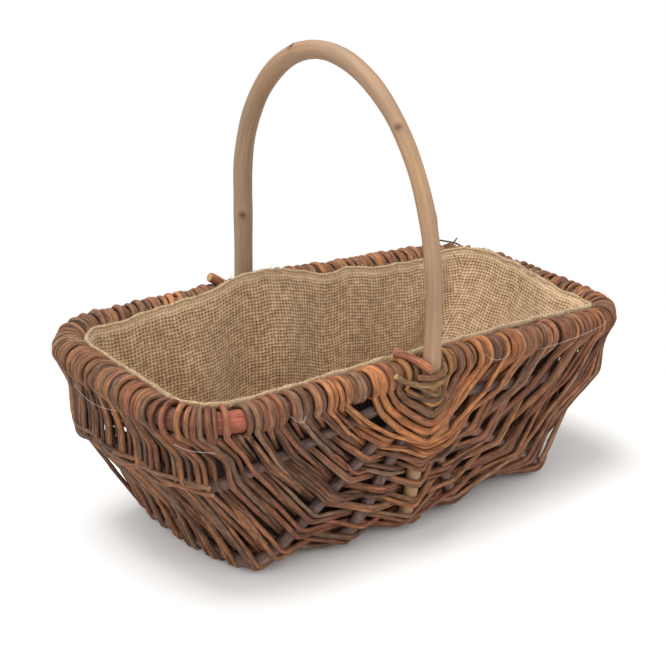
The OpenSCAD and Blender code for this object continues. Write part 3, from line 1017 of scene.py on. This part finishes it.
# Short rods that are not part of a row: half size, colour and places
SHORT_RODS = {
    -1: [
        # The stub against the handle's foot
        (2.7, srgb(164, 104, 72), [
            (-40.5, -84, 132), (-34.5, -89.5, 130.6), (-31.5, -96, 128),
            (-30.2, -102.7, 126), (-27.4, -107, 123),
        ]),
        # The highest lashing round the foot
        (1.9, srgb(144, 112, 76), [
            (-51, -98.4, 122.5), (-46, -99.6, 118.5), (-35.2, -100, 113.8), (-29.2, -104.7, 113.2),
            (-23, -108, 114.2), (-15.5, -105, 115.5), (-11, -99.5, 117),
        ]),
        # The one above it, where the foot comes out
        (2.1, srgb(132, 92, 62), [
            (-34, -100.5, 118.4), (-29.4, -105, 119), (-23, -108.4, 119.8),
            (-15.5, -105.6, 121), (-11, -100, 122),
        ]),
        # A thin dark one beneath it
        (1.4, srgb(88, 66, 50), [
            (-40, -96, 108), (-31, -102.5, 104), (-27, -107, 103), (-20, -107.6, 103.6), (-14, -102, 108),
        ]),
        # The one beside the foot on the right, up over the rim
        (2.0, srgb(136, 88, 60), [
            (-13, -103.5, 100), (-11, -99.5, 112), (-9.5, -98.4, 121), (-8, -92, 128.3), (-7, -85, 129.6),
        ]),
    ],
    1: [
        # A thick rod's end that looks out over the back rim
        (3.4, srgb(168, 104, 68), [
            (-60.5, 88, 147.8), (-55, 87.5, 144.6), (-49, 87, 140.8), (-44, 88, 136.5),
        ]),
        # A thin forked twig
        (0.7, srgb(96, 70, 54), [(182, 74, 136.5), (176.4, 78.2, 140.2), (162, 83.6, 143.5)]),
        (0.6, srgb(96, 70, 54), [(173, 79, 138.5), (176, 78.5, 141), (178, 78, 144)]),
    ],
}


def add_short_rods(rods, end):
    for radius, tint, places in SHORT_RODS[end]:
        path = bent_path(places, 4, 1.2)
        size = radius * (1 + 0.05 * np.sin(np.arange(len(path)) / 2.1))
        rods.add(path, size, size, vec(0.1, -0.8, 0.5), tint)


def add_twine(rods, end):
    """Thin rods twined along the left end's upper rib, where the rows kink."""
    half = SPINES[1].length / 2
    for k in range(TWINE_RODS):
        at = np.arange(TWINE_START + rng.uniform(-6, 6), half + 7, 1.5)
        phase = at * 2 * math.pi / TWINE_PITCH + k * 2 * math.pi / TWINE_RODS
        path = []
        for d, a in zip(at, phase):
            q = spine_place(1, end, d)
            way = unit(spine_place(1, end, d + 1) - spine_place(1, end, d - 1))
            w = outward(q)
            off = RIB_R + 2.5 + 1.5 * math.sin(3 * a)
            path.append(q + w * off + np.cross(way, w) * 3.4 * math.cos(a))
        path, facing = np.array(path), np.array([outward(q) for q in path])
        radius = rng.uniform(1.2, 1.5)
        rods.add(path, radius, radius, facing, rod_tint(len(path), -200, 0) * 0.8)


for end, side_name in ((-1, "front"), (1, "back")):
    rods = Rods(8)
    add_short_rods(rods, end)
    add_twine(rods, end)
    for row in range(ROWS):
        kinds = (0,) if row < BOUND_ROWS - 1 else (0, 1, FILLER)
        for k in kinds[: 2 if row == ROWS - 1 else 3]:
            add_strand(rods, row, end, k)
    dress(rods.build(f"{side_name}_willow_rods"), ROD_LOOKS, f"{side_name}_weavers")
    wraps = Rods(8)
    add_wraps(wraps, end)
    dress(wraps.build(f"{side_name}_rim_turns"), ROD_LOOKS, f"{side_name}_rim_wraps")


# The hessian liner

# How far the liner's edge stands above the rim's middle: along the back and the front by
# place along the basket, along the ends by place across it
BACK_LIFT = [
    (-185, 5), (-158, 4), (-142, 4), (-110, 7), (-78, 8.5), (-60, 12.5), (-43, 17), (-25, 18), (-7, 15.5),
    (11, 12), (21, 8.5), (33, 5), (45, 6.5), (57, 7.5), (70, 5.5), (91, 3.5), (134, 4), (154, 6.5),
    (185, 10),
]
FRONT_LIFT = [
    (-185, 9), (-145, 8.6), (-119, 7.6), (-43, 8.6), (-8, 7.8), (47, 9), (87, 10), (145, 10), (185, 9),
]
LEFT_LIFT = [(-75, 9), (-46, 7.5), (-13, 6), (21, 5), (46, 5), (75, 5)]
RIGHT_LIFT = [(-75, 8), (-50, 6), (-30, 6.5), (-9, 9), (12, 12.5), (44, 13.5), (61, 12), (75, 10)]
# Radius of the wrapped rim that the liner's edge clears
WRAPPED_R = 10.6
# How far the cloth hangs inside the outer face of its solid
CLOTH_IN = 1.1


# Points of the cloth on a long side, an end and a corner
SIDE_N = 110
END_N = 44
CORNER_N = 14


def outline(left, right, w, r):
    """A rounded rectangle, counterclockwise from the start of its right end."""
    middles = [(right - r, w - r), (left + r, w - r), (left + r, r - w), (right - r, r - w)]
    pts = []
    for k, n_straight in enumerate((END_N, SIDE_N, END_N, SIDE_N)):
        start, middle = np.array(middles[k - 1]), np.array(middles[k])
        turn = [math.radians(90 * (k + i / CORNER_N)) for i in range(CORNER_N)]
        ways = [r * np.array([math.cos(a), math.sin(a)]) for a in turn]
        pts += [mix(start, middle, i / n_straight) + ways[0] for i in range(n_straight)]
        pts += [middle + way for way in ways]
    return np.array(pts)


def looked_up(table, at):
    return np.interp(at, [p[0] for p in table], [p[1] for p in table])


def edge_lift(x, y):
    """How far the liner's edge stands above the rim's middle at places on its plan."""
    side = np.where(y > 0, looked_up(BACK_LIFT, x), looked_up(FRONT_LIFT, x))
    end = np.where(x > 0, looked_up(RIGHT_LIFT, y), looked_up(LEFT_LIFT, y))
    lift = mix(side, end, smooth((np.abs(x) - 150) / 32))
    return lift + 0.35 * np.sin(x / 6.1 + y / 4.7) + 0.25 * np.sin(x / 2.9 - y / 3.3)


def liner_levels():
    """Half sizes, height, corner radius and share of the rim's shape, from the edge down."""
    rim_off = RIM_R + ROD_T + WEAVE_GAP + LINER_GAP
    rib_off = RIB_R + ROD_T + WEAVE_GAP + LINER_GAP
    neck_z = RIM_H + NECK_RISE
    floor_z = BASE_Z + rib_off
    sizes = vec(1, 1, 1, 0, 1, 0)
    edge = vec(HALF_L, HALF_L, HALF_W, RIM_H, RIM_CORNER_R, 1) - LINER_EDGE_IN * sizes
    neck = vec(HALF_L, HALF_L, HALF_W, neck_z, RIM_CORNER_R, NECK_FOLLOW) - rim_off * sizes
    base = vec(BASE_LEFT_X - rib_off, BASE_RIGHT_X - rib_off, BASE_HALF_W - rib_off, floor_z, 14, 0)
    levels = [edge, mix(edge, neck, 0.5), neck]
    for t in np.linspace(0, 1, 20)[1:-1]:
        m = mix(neck, base, t**LINER_HOLLOW)
        m[3] = mix(neck_z, floor_z, t)
        m[5] = NECK_FOLLOW * (1 - t)
        levels.append(m)
    return levels, floor_z


def inward(ring):
    """The level way into the basket from each place of a ring."""
    along = np.roll(ring, -1, axis=0) - np.roll(ring, 1, axis=0)
    return unit(np.stack([-along[:, 1], along[:, 0], 0 * along[:, 0]], axis=1))


def make_liner():
    """The liner's cloth: an edge on the rim's inner shoulder, hollowed walls and a floor."""
    levels, floor_z = liner_levels()
    plans = [outline(-v[0], v[1], v[2], v[4]) for v in levels]
    top = plans[0]
    n = len(top)
    run = around_ring(top)
    at = run[:-1]
    lift = edge_lift(top[:, 0], top[:, 1])
    edge_off = np.sqrt(np.maximum(WRAPPED_R**2 - lift**2, LINER_EDGE_IN**2))
    rings = []
    for i, (v, plan) in enumerate(zip(levels, plans)):
        t = i / (len(levels) - 1)
        x, y = plan[:, 0], plan[:, 1]
        z = v[3] + v[5] * (RIM_TILT * y / v[2] + RIM_RISE * (1 - (x / HALF_L) ** 2))
        z = z + lift * [1, 0.45][i] if i < 2 else z
        ring = np.stack([x, y, z], axis=1)
        hang = math.sin(math.pi * min(1, max(t - 0.06, 0) * 1.1)) ** 0.8
        # Folds of three lengths, which drift along the wall on their way down
        fold = 2.9 * np.sin(at / 21 + 1.5 * np.sin(at / 55) + 1.3 * t)
        fold += 1.7 * np.sin(at / 11.5 - 2.4 * t + 1)
        fold += 0.4 * np.sin(at / 5.2 + 4 * t)
        pull = CLOTH_IN + hang * np.maximum(3.4 + fold, 0)
        if i < 2:
            pull = pull + (edge_off - LINER_EDGE_IN) * [1, 0.6][i]
        rings.append(ring + inward(ring) * pull[:, None])
    # The fillet into the floor, then the floor in shrinking rings
    wall_end = len(rings)
    last = rings[-1]
    for inset, z in ((2.5, 3.0), (6.5, 1.4), (12, CLOTH_IN)):
        ring = last * vec(1 - inset / 120, 1 - inset / 62, 0)
        ring[:, 2] = floor_z + z
        rings.append(ring)
    edge = rings[-1]
    floor_rings = 9
    for k in range(1, floor_rings + 1):
        t = k / floor_rings
        spine_x = np.clip(edge[:, 0], -58, 52)
        ring = np.stack([mix(edge[:, 0], spine_x, t), edge[:, 1] * (1 - t), np.zeros(n)], axis=1)
        ripple = 0.9 * np.sin(ring[:, 0] / 13 + 0.6) * np.sin(ring[:, 1] / 11) + 0.7
        ring[:, 2] = floor_z + CLOTH_IN + np.maximum(ripple, 0) * min(1.0, 2 * t)
        rings.append(ring)
    verts = np.concatenate(rings)
    faces = []
    for i in range(len(rings) - 1):
        for j in range(n):
            k = (j + 1) % n
            faces.append((i * n + j, (i + 1) * n + j, (i + 1) * n + k, i * n + k))
    uvs = liner_uvs(rings, wall_end)
    piece = new_object("hessian_liner_cloth", verts, faces, uv=uvs * MM)
    return piece, rings[0], run


def around_ring(ring):
    """Distance of each point of a closed ring from its first one, and the whole way round."""
    return np.concatenate([[0], np.cumsum(norm(np.roll(ring, -1, axis=0) - ring, axis=1))])


def liner_uvs(rings, wall_end):
    """Cloth coordinates in four wall panels, each measured from its middle, and the floor."""
    n = len(rings[0])
    around = [around_ring(ring) for ring in rings]
    steps = [norm(below - ring, axis=1) for ring, below in zip(rings, rings[1:])]
    down = np.concatenate([np.zeros((1, n)), np.cumsum(steps, axis=0)])
    counts = [END_N + CORNER_N, SIDE_N + CORNER_N, END_N + CORNER_N, SIDE_N + CORNER_N]
    firsts = np.cumsum([-CORNER_N // 2] + counts[:-1])
    panel = np.zeros(n, dtype=int)
    middles = []
    for p, (first, count) in enumerate(zip(firsts, counts)):
        panel[[(first + m) % n for m in range(count)]] = p
        middles.append((first + count // 2) % n)

    def on_wall(i, j, p):
        full = around[i][-1]
        u = (around[i][j % n] - around[i][middles[p]] + full / 2) % full - full / 2
        return (u + PANEL_STEP * p, -down[i][j % n])

    def on_floor(i, j):
        return (rings[i][j % n][0] + FLOOR_SHIFT, rings[i][j % n][1])

    uvs = []
    for i in range(len(rings) - 1):
        for j in range(n):
            for a, b in ((i, j), (i + 1, j), (i + 1, j + 1), (i, j + 1)):
                uvs.append(on_wall(a, b, panel[j]) if i < wall_end - 1 else on_floor(a, b))
    return np.array(uvs)


liner, hem_line, hem_run = make_liner()
dress(liner, hessian_material(), "hessian_liner")


def make_hem(line, run):
    """The liner's folded edge: a soft flattened roll on both sides of the cloth."""
    n = len(line)
    way_in = inward(line)
    section = []
    for a in np.linspace(0, 2 * math.pi, 13)[:-1]:
        section.append((1.2 * math.cos(a), 2.3 * math.sin(a) - 1.6))
    verts, faces, uvs = [], [], []
    # It is folded outward in front and at the left, and lies flat along the back
    flat = 1 - 0.5 * smooth((line[:, 1] - 55) / 15) - 0.35 * smooth((line[:, 0] - 150) / 20)
    flat = np.maximum(flat, 0.4)
    at = run[:-1]
    lumps = 1 + 0.2 * np.sin(at / 2.3) + 0.16 * np.sin(at / 5.1 + 1) + rng.normal(0, 0.1, n)
    for j in range(n):
        for a, b in section:
            out = way_in[j] * a * lumps[j] * (0.5 + 0.5 * flat[j])
            verts.append(line[j] + out + vec(0, 0, b * flat[j] * (0.8 + 0.2 * lumps[j])))
    s = len(section)
    for j in range(n):
        k = (j + 1) % n
        for i in range(s):
            m = (i + 1) % s
            faces.append((j * s + i, j * s + m, k * s + m, k * s + i))
            u0, u1 = run[j], run[j + 1]
            uvs += [(u0, i * 0.9), (u0, (i + 1) * 0.9), (u1, (i + 1) * 0.9), (u1, i * 0.9)]
    piece = new_object("hessian_liner_hem", verts, faces, uv=np.array(uvs) * MM)
    return dress(piece, fibre_material("hessian_hem_looks"))


hem = make_hem(hem_line, hem_run)

FUZZ_FIBRES = 3400


def make_fuzz(line):
    """Loose jute fibres that stand off the hem and the liner's upper edge."""
    fuzz = Rods(3)
    n = len(line)
    for _ in range(FUZZ_FIBRES):
        j = rng.integers(0, n)
        start = line[j] + rng.normal(0, 0.5, 3) + vec(0, 0, rng.uniform(-3.6, 0.6))
        way = unit(vec(*rng.normal(0, 1, 2), abs(rng.normal(0.2, 0.7))))
        curl = rng.normal(0, 0.6, 3)
        length = rng.uniform(0.8, 3.4)
        pts = [start + way * length * t + curl * t * t * length * 0.4 for t in np.linspace(0, 1, 5)]
        fuzz.add(np.array(pts), 0.1, 0.1, vec(0.3, 0.2, 0.9), srgb(214, 186, 146))
    looks = plain_material("jute_fibre_looks", (206, 178, 138), 0.9, Specular_IOR_Level=0.2)
    return dress(fuzz.build("hessian_liner_fuzz"), looks)


fuzz = make_fuzz(hem_line)

# Clear sewing threads that tie the liner to the basket: places along each
THREADS = [
    [(-184, 48, 134), (-191, 54.5, 137), (-198, 59, 135), (-202, 62, 128)],
    [(-200, 36, 112), (-201, 20, 107.5), (-201, 2, 107), (-199.5, -16, 110)],
    [(-197.5, -73, 106.5), (-193, -81, 103.8), (-181, -91, 102.6)],
    [(178, -50, 124), (184, -56, 129), (194, -62, 128), (201, -66, 118)],
    [(84, -98.6, 113), (119, -98.8, 114.2), (150, -98, 117.4), (158, -95, 119)],
    [(25.5, -99.4, 122), (34, -101.4, 116), (44, -101.2, 115), (52, -99.2, 118)],
    [(-134, -99, 116), (-130, -101.5, 112), (-126, -101.5, 111), (-123, -99.5, 114)],
]


def make_threads():
    threads = Rods(5)
    for places in THREADS:
        path = bent_path(places, 12, 0.8, 8)
        threads.add(path, 0.14, 0.14, vec(0.2, -0.6, 0.7), srgb(226, 222, 216))
    looks = plain_material("clear_thread_looks", (206, 198, 190), 0.3, Specular_IOR_Level=0.6, Alpha=0.6)
    dress(threads.build("hessian_liner_threads"), looks)


make_threads()


# Floor, light and camera


FLOOR_HALF = 20000
# Round this place the floor takes the shadow, and it fades to white between two distances
SHADE_MIDDLE = (0.05, -0.03, 0)
SHADE_FROM = 0.16
SHADE_TO = 0.36


def make_floor():
    corners = [(-1, -1, 0), (1, -1, 0), (1, 1, 0), (-1, 1, 0)]
    floor = new_object("floor", FLOOR_HALF * np.array(corners), [(0, 1, 2, 3)])
    m = material_nodes("floor_looks")
    place = m.node("TexCoord").outputs["Object"]
    away = m.node("VectorMath", {0: place, 1: SHADE_MIDDLE}, operation="SUBTRACT").outputs[0]
    length = m.node("VectorMath", {0: away}, operation="LENGTH").outputs["Value"]
    tone = m.grey(m.range(m.noise(place, 300.0, 2.0), 0.3, 0.7, 0.925, 0.935))
    diffuse = m.node("BsdfDiffuse", dict(Color=tone)).outputs[0]
    glow = m.node("Emission", dict(Color=(1, 1, 1, 1), Strength=1.0)).outputs[0]
    fade = m.range(length, SHADE_FROM, SHADE_TO)
    floor.data.materials.append(m.show(m.node("MixShader", {0: fade, 1: diffuse, 2: glow})))


make_floor()


def make_world(fill):
    """White where the camera sees it, and a little warmer and weaker as light."""
    m = Nodes(bpy.data.worlds.new("studio"), "World")
    lit = m.node("Background", dict(Color=(1, 0.99, 0.975, 1), Strength=fill)).outputs[0]
    seen = m.node("Background", dict(Color=(1, 1, 1, 1), Strength=1.0)).outputs[0]
    ray = m.node("LightPath").outputs["Is Camera Ray"]
    bpy.context.scene.world = m.show(m.node("MixShader", {0: ray, 1: lit, 2: seen}))


def area_light(name, place, target, size, watts, colour):
    light = bpy.data.lights.new(name, "AREA")
    light.shape = "DISK"
    light.size = size
    light.energy = watts
    light.color = colour
    obj = bpy.data.objects.new(name, light)
    obj.location = place
    way = Vector(target) - Vector(place)
    obj.rotation_euler = way.to_track_quat("-Z", "Y").to_euler()
    bpy.context.scene.collection.objects.link(obj)


# How strongly the studio's white surroundings light the basket
WORLD_FILL = 0.64
BASKET_MIDDLE = (0, 0, 0.08)

make_world(WORLD_FILL)
area_light("key_light", (-0.3, 0.2, 1.9), BASKET_MIDDLE, 1.3, 32, (1, 0.985, 0.96))
area_light("front_light", (-0.35, -1.9, 1.2), BASKET_MIDDLE, 1.7, 15, (1, 0.99, 0.98))
area_light("left_light", (-1.9, -0.5, 0.8), BASKET_MIDDLE, 1.5, 10, (1, 0.99, 0.98))


# The camera that took the photograph, from the fit of the hoops and corners

CAM_AZIMUTH = -40.13
CAM_ELEVATION = 17.49
CAM_DISTANCE = 0.94197
CAM_SHIFT_X = -0.01501
CAM_SHIFT_Z = 0.11098
CAM_ROLL = 0.74
CAM_FOCAL_PIXELS = 1300
PHOTO_PIXELS = 665
SENSOR_MM = 36


def make_camera():
    a = math.radians(CAM_AZIMUTH)
    e = math.radians(CAM_ELEVATION)
    back = vec(math.sin(a) * math.cos(e), -math.cos(a) * math.cos(e), math.sin(e))
    right = vec(math.cos(a), math.sin(a), 0)
    up = np.cross(back, right)
    target = right * CAM_SHIFT_X + up * CAM_SHIFT_Z
    eye = target + back * CAM_DISTANCE
    roll = math.radians(CAM_ROLL)
    rolled_right = right * math.cos(roll) + up * math.sin(roll)
    rolled_up = np.cross(back, rolled_right)
    data = bpy.data.cameras.new("photo_camera")
    data.sensor_width = SENSOR_MM
    data.sensor_fit = "HORIZONTAL"
    data.lens = SENSOR_MM * CAM_FOCAL_PIXELS / PHOTO_PIXELS
    data.clip_start = 0.05
    data.clip_end = 60
    camera = bpy.data.objects.new("photo_camera", data)
    turn = Matrix([[*row] for row in np.stack([rolled_right, rolled_up, back], axis=1)]).to_4x4()
    camera.matrix_world = Matrix.Translation(Vector(eye)) @ turn
    bpy.context.scene.collection.objects.link(camera)
    bpy.context.scene.camera = camera


make_camera()
bpy.context.scene.view_settings.view_transform = "Standard"
